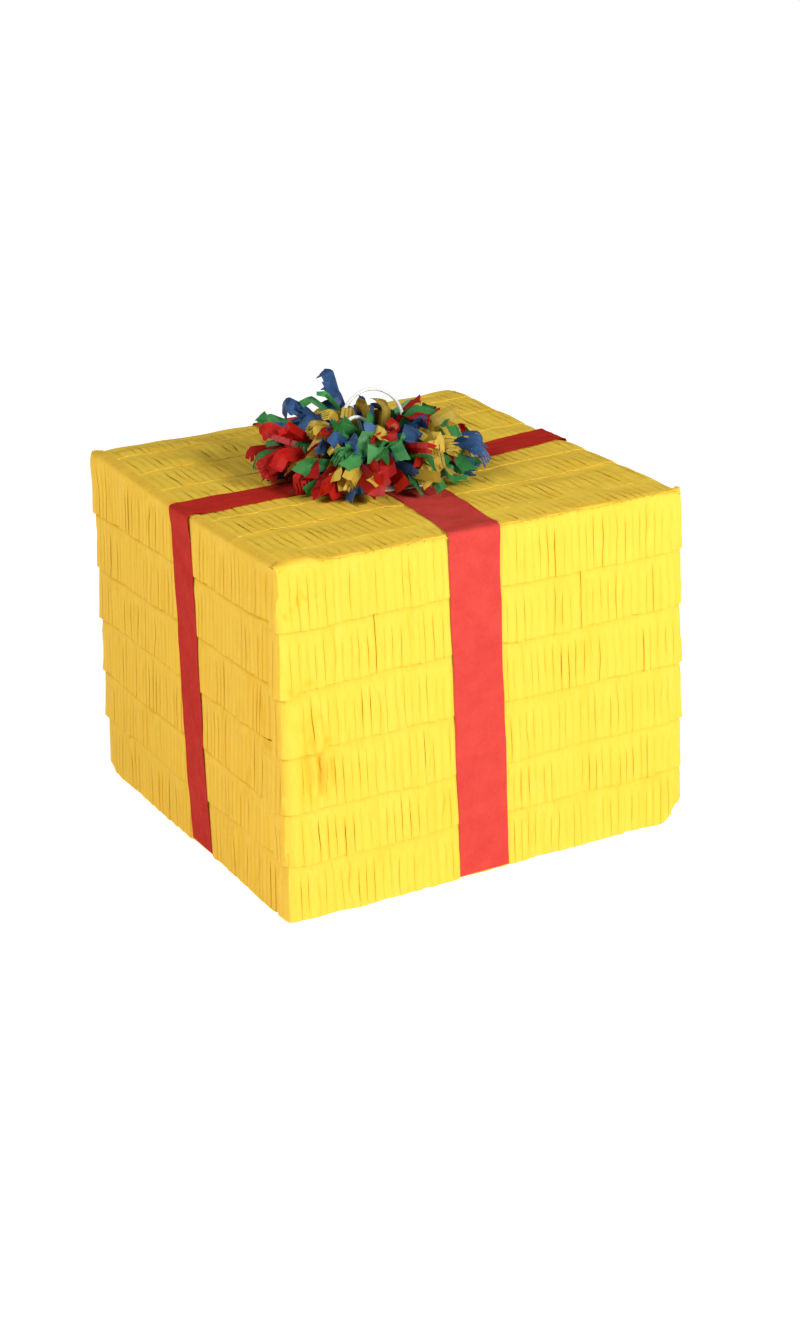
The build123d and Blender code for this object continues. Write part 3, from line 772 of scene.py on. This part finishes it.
def wall_row(side, number, name, node, span=None, body="shell", upper=None):
    """One row of fringed crepe on a wall. Its ends go round the two corners, or stop short under
    the next wall's rows."""
    ends = ENDS[side][number]
    tips = row_level(side, number)[1]
    top, band, levels = row_levels(side, number, upper, tips)
    drop = top - tips
    low = -(HALF + ends[0][0]) if ends[0] else -TUCKED_END
    high = HALF + ends[1][0] if ends[1] else TUCKED_END
    if span:
        low, high = max(low, span[0]), min(high, span[1])
    seams = [seam - low for seam in SEAMS.get((side, number), ()) if low < seam < high]
    gaps, power = ((0.12, 0.54), 1.5) if side == "front" else ((0.06, 0.5), 1.8)
    folds = [sign * (HALF - sum(end[1:]) / 2) - low for sign, end in zip((-1, 1), ends) if end]
    s, t, lift, cut, faces = fringe(
        high - low, drop, band, dice(name), gaps, power, seams=seams, rows=levels, uncut=folds
    )
    share = t / drop
    s = snapped(s + low, share, ends)
    t = t + droop(side, number, s) * share**1.5
    if (side, number) == TORN_ROW:  # its torn end sags on the left wall
        t = t + 6.0 * smooth((-s - HALF + 2) / 24)
    z = top - t
    # painted shade beside the open cuts, round the narrow puffs and along the creases
    shade_tint = (0.5 if side == "left" else 0.22) * cut + painted_relief_shade(side, s, z)
    if number > 1 and upper is None:  # painted shadow: a deeper line under the tips of the row above
        below = row_level(side, number - 1)[1] - droop(side, number - 1, s) - z
        deep, covered = {"front": (0.5, 0), "left": (1.0, 1.9)}.get(side, (0.7, 0.5))
        shade_tint = shade_tint + deep * np.exp(-((np.maximum(below - covered, 0) / 1.2) ** 2))
    n = stand_off(side, number, ends, s, t, z, share, lift)
    points = wall_point(side, s, z, n, ends, share)
    points[:, 2] = np.maximum(points[:, 2], THICK / 2 + 0.05)
    sheet = sheet_object(name, points, faces, THICK, crepe_wall, shade_tint=shade_tint)
    lay(sheet, body, node)


FLAP_LOW, FLAP_HIGH = node_low("flap_panel"), node_high("flap_panel")
CUT = 0.5  # the gap round the flap


def wall_rows():
    # on the back wall s runs towards -X, and the flap's own rows fill the gap
    beside_flap = {"a": (-999, -FLAP_HIGH[0] - CUT), "b": (-FLAP_LOW[0] + CUT, 999)}
    for side in WALLS:
        for number in range(1, WALL_ROW_COUNT + 1):
            parts = beside_flap if side == "back" and number in (2, 3) else {"": None}
            for part, span in parts.items():
                name = f"{side}_crepe_{number}{part}"
                wall_row(side, number, name, f"{side}_row_{number}", span)


# ---- Crepe rows on the lid ----


def lid_rows():
    for number in range(1, LID_ROW_COUNT + 1):
        node = f"lid_row_{number}"
        rear, front = node_high(node)[1], node_low(node)[1]
        if number == 1:
            band = 5.0
        else:
            band = rear - node_low(f"lid_row_{number - 1}")[1] + 4.0
        last = number == LID_ROW_COUNT
        low, high = -HALF + 2.0, HALF + 0.3
        random = dice(f"lid_crepe_{number}")
        s, t, lift, cut, faces = fringe(
            high - low, rear - front, band, random, (0.25, 1.35), 1.3, open_tips=last
        )
        s, y = s + low, rear - t
        share = t / (rear - front)
        phase = random.uniform(0, ROUND, 2)
        y = y + (0.5 * np.sin(s / 37 + phase[0]) + 0.35 * np.sin(s / 15 + phase[1])) * share * (not last)
        hold = pressed("lid", s, y)
        n = FOOT + np.interp(t, (0, 10, 17, 50), (0, 0.12, 0.8, 0.8)) + 0.7 * swell("lid", s, y)
        n = n + 0.8 * lift * hold - 0.45 * (1 - hold) * share
        tucked = smooth((-s - 132) / 10)
        n = n * (1 - tucked) + (FOOT + (n - FOOT) * 0.25) * tucked
        z = CARD_TOP + n + rise(s, y) - 1.6 * np.maximum((s - HALF + 6) / 6, 0) ** 2
        if last:
            z = z - 0.9 * smooth((-y - HALF + 4) / 4) ** 2
            y = y - 0.5 * smooth((-y - HALF + 10) / 10)
        points = np.stack((s, y, z), axis=-1)
        # painted shade beside the open cuts, round the narrow puffs and along the creases
        shade_tint = 0.3 * cut + painted_relief_shade("lid", s, y)
        sheet = sheet_object(f"lid_crepe_{number}", points, faces, THICK + 0.08, crepe_lid, shade_tint=shade_tint)
        lay(sheet, "shell", node)


# ---- Fill flap ----


def fill_flap():
    """The flap's two rows, and the crepe left uncut along its upper edge, which is the hinge."""
    span = (-FLAP_HIGH[0], -FLAP_LOW[0])
    hinge_z = FLAP_HIGH[2]
    for number in (2, 3):
        upper = hinge_z if number == 2 else None
        name, node = f"flap_crepe_{number}", f"flap_row_{number}"
        wall_row("back", number, name, node, span, "fill_flap", upper)
    columns, levels = 48, 24
    s = np.linspace(span[0] + 0.5, span[1] - 0.5, columns + 1)
    z = np.linspace(hinge_z + 10, hinge_z - 9, levels + 1)
    s, z = (grid.ravel() for grid in np.meshgrid(s, z))
    n = 1.05 + 0.25 * (hinge_z + 10 - z) / 19 + 0.06 * np.sin(s * 1.1 + z * 0.3)
    faces = grid_faces(levels, columns + 1)
    hinge = sheet_object("flap_hinge_crepe", wall_point("back", s, z, n), faces, 0.25, crepe_wall)
    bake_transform(hinge)


# ---- Ribbons ----


RIBBON_END = 24.0  # how far it goes in under the base
RIBBON_FOLD = 1.6  # radius over the box's edges
RIBBON_STEP = 3.5


def ribbon_stops():
    """How far along a ribbon each of its flat runs and folds ends."""
    foot = RIBBON_END - RIBBON_FOLD
    up = HEIGHT - RIBBON_FOLD - RIBBON_TUCK_Z - RIBBON_FOLD
    over = 2 * (HALF - RIBBON_FOLD)
    bend = RIBBON_FOLD * math.pi / 2
    return np.cumsum([0, foot, bend, up, bend, over, bend, up, bend, foot])


def ribbon_section(stops, d):
    """A flat ribbon's middle surface a distance along it: how far out from the box's middle, the
    height, and the direction that faces away from the box."""
    edge, foot, top = HALF - RIBBON_FOLD, RIBBON_TUCK_Z + RIBBON_FOLD, HEIGHT - RIBBON_FOLD
    part = min(int(np.searchsorted(stops, d, side="right")) - 1, 8)
    p = d - stops[part]
    c, q = math.cos(p / RIBBON_FOLD), math.sin(p / RIBBON_FOLD)
    across, along = RIBBON_FOLD * c, RIBBON_FOLD * q
    sections = (
        (HALF - RIBBON_END + p, RIBBON_TUCK_Z, (0, -1)),
        (edge + along, foot - across, (q, -c)),
        (HALF, foot + p, (1, 0)),
        (edge + across, top + along, (c, q)),
        (edge - p, HEIGHT, (0, 1)),
        (-edge - along, top + across, (-q, c)),
        (-HALF, top - p, (-1, 0)),
        (-edge - across, foot - along, (-c, -q)),
        (-edge + p, RIBBON_TUCK_Z, (0, -1)),
    )
    return sections[part]


def ribbon(name, first, last, lid_course, lengthwise, height, material):
    """A ribbon up the wall `first`, over the lid and down the wall `last`. It stands out by height
    where it crosses the other one."""
    width = RIBBON_WIDTH[name]
    edge, foot, top = HALF - RIBBON_FOLD, RIBBON_TUCK_Z + RIBBON_FOLD, HEIGHT - RIBBON_FOLD
    stops = ribbon_stops()
    runs = [np.linspace(a, b, max(int((b - a) / RIBBON_STEP), 5)) for a, b in zip(stops, stops[1:])]
    way = np.unique(np.concatenate(runs))
    across = np.linspace(-0.5, 0.5, 15)
    points = []
    waver = dice(name).uniform(0, ROUND, 8)
    for d in way:
        out, z, face = ribbon_section(stops, d)
        on_wall = first if out > edge - 0.01 else last if out < -edge + 0.01 else None
        edge_wave = 0.35 * np.sin(d / 23 + waver[0]) + 0.2 * np.sin(d / 9 + waver[1])
        middle = course(on_wall, z) if on_wall else course(lid_course, -out)
        place = middle + across * (width + edge_wave)
        there = np.full_like(place, -out)
        x, y = (place, there) if lengthwise else (there, place)
        under = z < foot
        if on_wall:
            stand = swell(on_wall, place * RUNS[on_wall], np.full_like(place, z))
        elif under:
            stand = np.zeros_like(place)
        else:
            stand = 0.7 * swell("lid", x, y) + rise(x, y)
        crossing = 0.0 if on_wall or under else smooth((34 - abs(out)) / 10)
        folds = 0.12 * np.sin(across * 19 + waver[2] + d / 60)
        folds = folds + 0.10 * np.sin(across * 33 + waver[3] - d / 41)
        pucker = 0.10 * np.sin(d / 4.1 + waver[4]) * np.sin(across * 9 + d / 17)
        fade = smooth(z / 6) if under else 1.0
        # it lies close on the crepe, except where it goes over the fuller paper at the lid's edge
        fuller = float(smooth((z - HEIGHT + 14) / 8)) * float(smooth((abs(out) - HALF + 12) / 8))
        sunk = 0.8 * (1 - fuller) - 0.35
        stand = -sunk * fade + height * crossing + fade * (stand + folds + pucker)
        # the paper's flare carries it outward, less and less as it goes under the base
        apart = 0.0
        if z < top:
            apart = float(flare(z)) * float(np.clip((abs(out) - HALF + RIBBON_END) / RIBBON_END, 0, 1))
        raised = risen(x, y, z) if on_wall else np.zeros_like(place)
        for w, lift, up in zip(place, np.broadcast_to(stand, place.shape), raised):
            o, level = out + face[0] * lift + math.copysign(apart, out), z + face[1] * lift + up
            points.append((w, -o, level) if lengthwise else (-o, w, level))
    faces = grid_faces(len(way) - 1, len(across))
    if lengthwise:
        faces = [face[::-1] for face in faces]
    band = sheet_object(f"{name}_crepe", points, faces, 0.3, material)
    stand_in(band, "shell", name)


# ---- Pom-pom ----
TISSUE = {  # light, deep, glow
    "red": ((0.78, 0.022, 0.012), (0.36, 0.006, 0.005), (0.9, 0.03, 0.02)),
    "blue": ((0.085, 0.21, 0.44), (0.026, 0.075, 0.20), (0.10, 0.28, 0.6)),
    "green": ((0.12, 0.47, 0.135), (0.026, 0.20, 0.055), (0.22, 0.7, 0.2)),
    "yellow": ((0.86, 0.66, 0.11), (0.55, 0.38, 0.04), (1.0, 0.8, 0.14)),
}
TISSUE_GRAIN = (150, 150, 150)
PUFF_LOW = node_low("tissue_red")[2]
CRISP = math.radians(12)  # tissue folds sharper than crepe


class Bundle:
    """All the strips of one colour, gathered into one mesh."""

    def __init__(self, colour):
        self.colour, self.area = colour, 0.0
        self.points, self.faces, self.shade_tints = [], [], []

    def strip(self, path, width, random, facing, twist, trough, crumple, taper, frayed):
        """A strip of tissue along a path of (x, y, z), its flat side towards `facing` where it
        can. trough is how deep it is creased lengthwise, as a share of its width; frayed is how
        many slits its end is torn into."""
        path = np.asarray(path, float)
        knots = np.linspace(0, 1, len(path))
        run = np.unique(np.concatenate((np.linspace(0, 1, 13), knots)))
        line = np.stack([bent_curve(knots, path[:, k], run) for k in range(3)], axis=-1)
        tangents = np.gradient(line, run, axis=0)
        tangents /= np.linalg.norm(tangents, axis=1, keepdims=True)
        first = len(self.points)
        length = np.linalg.norm(np.diff(line, axis=0), axis=1).sum()
        slant = random.normal(0, 0.12)
        pleats = np.sort(random.uniform(0, 1, 5))
        depths, tilts = random.normal(0, 0.7, 5), random.normal(0, 0.8, 5)
        edges = np.linspace(-1, 1, 7)
        slits = ()
        if frayed:  # narrow torn slits, with the tips between them at uneven lengths
            middles = np.linspace(-1, 1, frayed + 3)[1:-1]
            edges = np.sort(np.concatenate(((-1, 1), middles - 0.07, middles + 0.07)))
            slits = range(1, len(edges) - 1, 2)
        tips = random.uniform(-0.35 if frayed else -0.05, 0.05, len(edges))
        torn = random.uniform(0.55, 0.8, len(edges))
        columns = len(edges) - 1
        shade = random.uniform(0, 0.32)
        side = np.cross(tangents[0], facing)
        for x, place, tangent in zip(run, line, tangents):
            wanted = np.cross(tangent, facing)
            side = 0.5 * side / np.linalg.norm(side) + wanted * (1 if side.dot(wanted) > 0 else -1)
            side = side - tangent * side.dot(tangent)
            side /= np.linalg.norm(side)
            face = np.cross(side, tangent)
            angle = twist * (x - 0.5)
            across = side * math.cos(angle) + face * math.sin(angle)
            normal = np.cross(across, tangent)
            wide = width * np.interp(x, (0, 0.4, 1), (taper[0] * 0.7, taper[0], taper[1]))
            depth, tilt = np.interp(x, pleats, depths), np.interp(x, pleats, tilts)
            for u, tip in zip(edges, tips):
                off = trough * width * (0.5 - abs(u)) + crumple * (depth + tilt * u)
                along = x**6 * width * (slant * u + tip)
                self.points.append(place + across * wide / 2 * u + normal * off + tangent * along)
                # a random darker tone for each strip, then painted shade towards its root and on the facets
                # its pleats tilt
                self.shade_tints.append(shade + 0.75 * max(1 - x / 0.7, 0) + 0.25 * abs(tilt * u) * crumple)
        for j in range(len(run) - 1):
            for c in range(columns):
                if c in slits and run[j] > torn[c]:
                    continue
                a = first + j * (columns + 1) + c
                self.faces.append((a, a + columns + 1, a + columns + 2, a + 1))
        self.area += length * width * (taper[0] + taper[1]) / 2

    def finish(self):
        name = f"pompom_{self.colour}"
        light, deep, glow = TISSUE[self.colour]
        # painted shade: the colour the strips darken to towards the pom-pom's middle and in their creases
        root = tuple(0.45 * part for part in deep)
        material = paper(
            f"tissue_{self.colour}", light, deep, glow, TISSUE_GRAIN, 0.38, 0.45, 0.3, 0.5, root
        )
        points = np.maximum(np.array(self.points), (-1e9, -1e9, PUFF_LOW + 0.4))
        used = np.unique([i for face in self.faces for i in face])
        renumber = np.zeros(len(points), int)
        renumber[used] = np.arange(len(used))
        faces = [tuple(int(renumber[i]) for i in face) for face in self.faces]
        bundle = sheet_object(name, points[used], faces, 0.16, material, CRISP, np.array(self.shade_tints)[used])
        stand_in(bundle, "shell", f"tissue_{self.colour}")


def bent_curve(knots, values, at):
    """A curve through values that bends sharply near each, as folded paper does."""
    slopes = np.gradient(values, knots) * 0.25
    out = np.empty_like(at)
    for i, x in enumerate(at):
        k = min(int(np.searchsorted(knots, x, side="right")) - 1, len(knots) - 2)
        h = knots[k + 1] - knots[k]
        f = (x - knots[k]) / h
        out[i] = (
            (2 * f**3 - 3 * f**2 + 1) * values[k]
            + (f**3 - 2 * f**2 + f) * h * slopes[k]
            + (3 * f**2 - 2 * f**3) * values[k + 1]
            + (f**3 - f**2) * h * slopes[k + 1]
        )
    return out


# The pom-pom's colours lie in tufts: colour, strips, degrees round from +X, degrees up, reach, width
TUFTS = [
    ("blue", 3, 150, 70, 80, 9), ("green", 3, 160, 65, 80, 5), ("yellow", 4, 170, 60, 65, 8),
    ("blue", 4, 160, 40, 85, 11), ("green", 4, 155, 25, 85, 9), ("red", 8, 170, 20, 85, 12),
    ("red", 6, 200, 10, 80, 12), ("yellow", 5, 190, 40, 70, 10), ("yellow", 5, 215, 20, 70, 10),
    ("blue", 4, 210, 30, 70, 9), ("green", 8, 240, 35, 70, 12), ("blue", 4, 250, 45, 60, 12),
    ("red", 6, 230, 10, 80, 12), ("red", 4, 255, 10, 80, 12), ("yellow", 4, 270, 10, 85, 8),
    ("yellow", 6, 300, 30, 70, 9), ("green", 6, 315, 25, 75, 9), ("blue", 6, 320, 10, 80, 9),
    ("red", 5, 340, 45, 60, 10), ("green", 4, 350, 40, 60, 8), ("yellow", 4, 345, 30, 70, 8),
]
FILL_COUNT = 190
GOLDEN_ANGLE = math.pi * (3 - math.sqrt(5))
STRIP_ROOT = 13.0  # how far from the middle the strips start


def spray(random, turned, elevation, reach):
    """A strip's path from the pom-pom's middle, which droops at its end, and the way it sets off."""
    direction = np.array((math.cos(turned), math.sin(turned), 0.0))
    outward = direction * math.cos(elevation) + np.array((0, 0, math.sin(elevation)))
    sideways = np.array((-math.sin(turned), math.cos(turned), 0.0)) * random.normal(0, 8)
    root = direction * STRIP_ROOT * math.cos(elevation) + np.array((0, 0, PUFF_LOW + 4))
    knee = root + outward * reach * 0.6 + np.array((0, 0, random.uniform(0, 6))) + sideways * 0.3
    end = root + outward * (reach - STRIP_ROOT) + np.array((0, 0, random.uniform(-10, 3))) + sideways
    further = direction * random.uniform(0, 8)
    drooped = end + further + np.array((0, 0, random.uniform(-10, 2))) + sideways * 0.4
    path = [root, knee, end, drooped]
    for place in path:
        place[2] = max(place[2], PUFF_LOW + 3)
    return path, outward


def add_strip(bundle, random, path, width, facing):
    facing = facing / np.linalg.norm(facing)
    bundle.strip(
        path,
        width,
        random,
        facing,
        twist=random.normal(0, 0.5),
        trough=abs(random.normal(0, 0.12)),
        crumple=random.uniform(0.4, 1.4),
        taper=(random.uniform(0.7, 0.95), random.uniform(0.9, 1.1)),
        frayed=int(random.random() < 0.25) * int(random.integers(1, 4)),
    )


def pompom():
    bundles = {colour: Bundle(colour) for colour in TISSUE}
    random = dice("pompom")
    for colour, count, around, up, reach, width in TUFTS:
        for _ in range(count):
            turned = math.radians(around + random.normal(0, 9))
            elevation = math.radians(max(up + random.normal(0, 7), 2))
            path, outward = spray(random, turned, elevation, reach * random.uniform(0.8, 1.0))
            facing = TOWARD + 0.4 * outward + random.normal(0, 0.3, 3)
            add_strip(bundles[colour], random, path, width * random.uniform(0.8, 1.15), facing)
    colours = list(TISSUE)
    for k in range(FILL_COUNT):
        turned = k * GOLDEN_ANGLE + random.normal(0, 0.25)
        elevation = math.asin(0.97 * (k + 0.5) / FILL_COUNT) * 0.92 + random.normal(0, 0.08)
        elevation = max(elevation, 0.03)
        reach = (76 - 26 * (elevation / 1.5) ** 1.2) * random.uniform(0.78, 1.0)
        path, outward = spray(random, turned, elevation, reach)
        facing = outward + random.normal(0, 0.6, 3)
        add_strip(bundles[colours[int(random.integers(4))]], random, path, random.uniform(8.5, 14), facing)
    for bundle in bundles.values():
        bundle.finish()


# ---- Materials on the CAD's own pieces ----
CARRIED = (
    (board, [f"{side}_panel" for side in ("bottom", "top", *WALLS, "flap")] + ["anchor_plate"]),
    (tape, ["seam_tapes", "dowel_tapes"]),
    (pine, ["anchor_dowel"]),
    (cotton, ["cord_turns", "cord_knot"]),
    (wrap_paper, ["wrap_sides", "wrap_lid", "flap_wrap", "base_sheet"]),
    (disc_card, ["pompom_disc"]),
)


def dress_cad():
    for material, nodes in CARRIED:
        for node in nodes:
            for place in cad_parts[node].material_slots:
                place.material = material


# ---- Floor, light ----
FLOOR_HALF = 60.0  # metres, as are the places of the lights
LIGHTS = (  # name, place, size, power
    ("key", (0.62, -2.05, 1.25), 0.7, 50),
    ("fill", (-1.8, -0.6, 1.75), 0.7, 25),
)


def stage():
    mesh = bpy.data.meshes.new("floor")
    corners = [(x * FLOOR_HALF, y * FLOOR_HALF, 0) for x, y in ((-1, -1), (1, -1), (1, 1), (-1, 1))]
    mesh.from_pydata(corners, [], [(0, 1, 2, 3)])
    floor = new_object("floor", mesh)
    material, tree, shader = new_material("floor_white")
    pale, white = (0.93, 0.93, 0.93, 1), (1, 1, 1, 1)
    set_sockets(shader, {"Base Color": pale, "Roughness": 0.3, "Emission Color": white})
    place = tree.nodes.new("ShaderNodeTexCoord")
    away = tree.nodes.new("ShaderNodeVectorMath")
    away.operation = "LENGTH"
    tree.links.new(place.outputs["Object"], away.inputs[0])
    glow = spread(tree, away.outputs["Value"], 1.0, 5.0, 0.70, 0.92)
    tree.links.new(glow, shader.inputs["Emission Strength"])
    mesh.materials.append(material)
    world = bpy.data.worlds.new("world")
    world.use_nodes = True
    background = world.node_tree.nodes["Background"]
    set_sockets(background, {"Color": white, "Strength": 0.18})
    bpy.context.scene.world = world
    for name, place, side, power in LIGHTS:
        data = bpy.data.lights.new(name, "AREA")
        data.size = side
        data.energy = power
        lamp = new_object(name, data)
        lamp.location = place
        lamp.rotation_euler = (Vector((0, 0, 0.12)) - Vector(place)).to_track_quat("-Z", "Y").to_euler()
    bpy.context.scene.view_settings.view_transform = "Standard"


wall_rows()
lid_rows()
fill_flap()
# this ribbon takes the paler red, painted highlight
ribbon("ribbon_front_back", "front", "back", "lid_front_back", True, 0.0, faded_crepe)
ribbon("ribbon_left_right", "left", "right", "lid_left_right", False, 0.8, ribbon_crepe)
pompom()
dress_cad()
stage()
